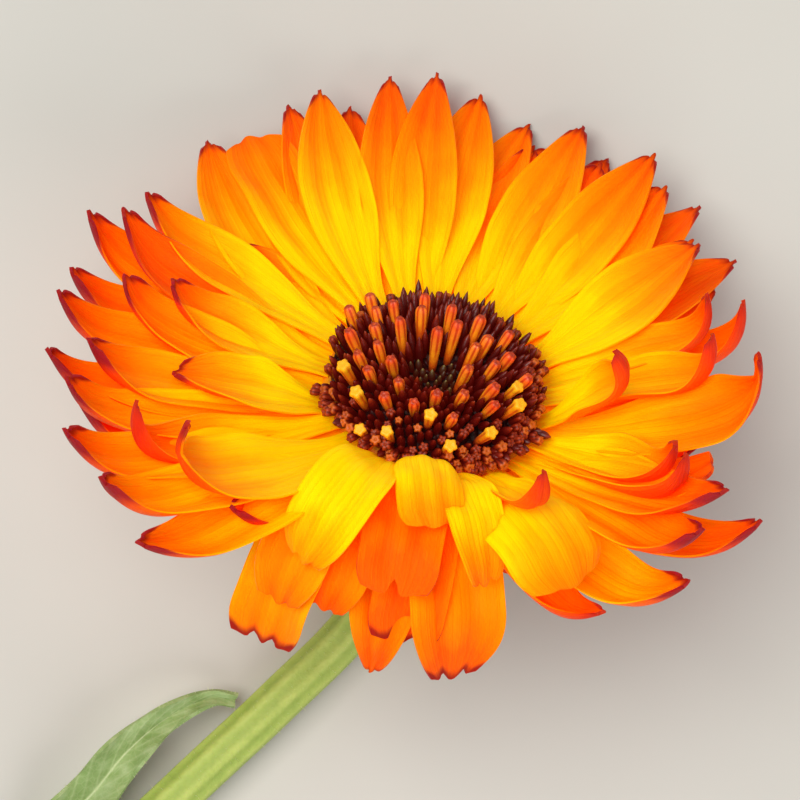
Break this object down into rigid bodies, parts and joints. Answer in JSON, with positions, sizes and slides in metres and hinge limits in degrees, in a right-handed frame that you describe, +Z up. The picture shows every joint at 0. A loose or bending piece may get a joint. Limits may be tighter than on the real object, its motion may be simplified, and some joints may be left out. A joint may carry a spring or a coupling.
{
  "type": "marigold flower",
  "caption": "Cut two-coloured pot marigold head with layered toothed petals, a dark floret disc, bracts, a bent ribbed stem and a narrow leaf, lying on a surface.",
  "frame": {"origin": "on the surface that the flower lies on, under the middle of its box", "axes": "+Z up from that surface; the head leans back towards +Y, away from its stem, whose cut end lies towards -X and -Y"},
  "size_m": [0.0716, 0.081, 0.0461],
  "materials": {
    "petals": "satin",
    "disc": "satin",
    "bracts": "matte",
    "stem": "satin",
    "leaf": "matte"
  },
  "bodies": {
    "root": {"ray_florets": "petals", "disc_florets": "disc", "involucre": "bracts", "stem": "stem", "leaf": "leaf"}
  },
  "joints": []
}
